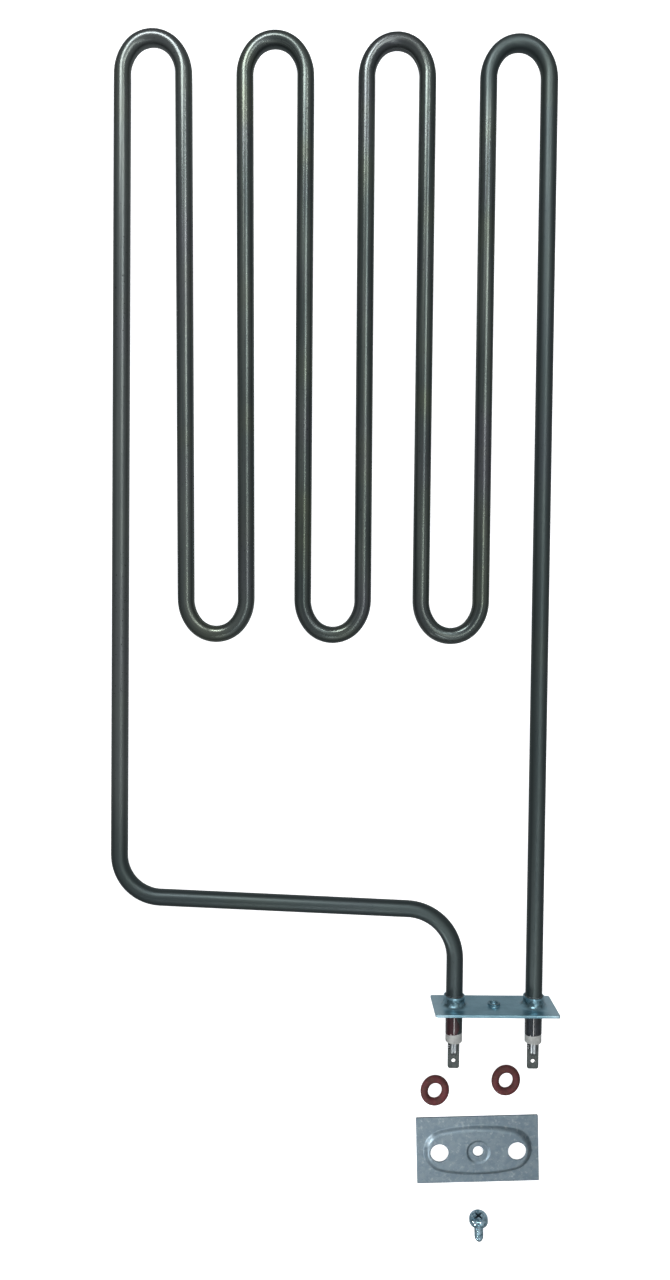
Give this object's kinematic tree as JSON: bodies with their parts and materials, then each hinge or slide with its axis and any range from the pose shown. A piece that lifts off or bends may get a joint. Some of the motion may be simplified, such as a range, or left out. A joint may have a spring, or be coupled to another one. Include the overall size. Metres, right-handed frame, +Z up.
{
  "type": "heating element",
  "caption": "Tubular heating element bent into a flat serpentine, with a pressed mounting flange, push-on tabs, and loose seal rings, domed clamp plate and screw.",
  "frame": {"origin": "on the axis of the flange's threaded hole, at the flange face that meets the wall", "axes": "+X across the legs, +Y from the terminals towards the far bends, +Z up from the surface that the element lies on"},
  "size_m": [0.24, 0.653, 0.026],
  "materials": {
    "sheath_steel": "satin, dark grey-green oxide from annealing",
    "heating_wire": "bright resistance wire",
    "zinc_plate": "bluish zinc plating, glossy",
    "galvanised_sheet": "galvanised, with spangle",
    "zinc_screw": "bluish zinc plating, glossy",
    "seal_rubber": "brown-red silicone rubber, matt",
    "pin_steel": "bright steel",
    "ceramic": "white-grey matt ceramic",
    "sealing_resin": "glossy dark red resin",
    "mineral_powder": "packed mineral powder",
    "tab_steel": "dull plated steel",
    "braze": "darkened braze"
  },
  "bodies": {
    "root": {"heater_sheath": "sheath_steel", "resistance_coil": "heating_wire", "mounting_flange": "zinc_plate", "clamp_plate": "galvanised_sheet", "clamp_screw": "zinc_screw", "seal_ring_left": "seal_rubber", "seal_ring_right": "seal_rubber", "coil_joint_left": "heating_wire", "coil_joint_right": "heating_wire", "terminal_pin_left": "pin_steel", "terminal_pin_right": "pin_steel", "insulator_left": "ceramic", "insulator_right": "ceramic", "end_seal_left": "sealing_resin", "end_seal_right": "sealing_resin", "cold_filling_left": "mineral_powder", "cold_filling_right": "mineral_powder", "tab_left": "tab_steel", "tab_right": "tab_steel", "braze_ring_left": "braze", "braze_ring_right": "braze"}
  },
  "joints": []
}
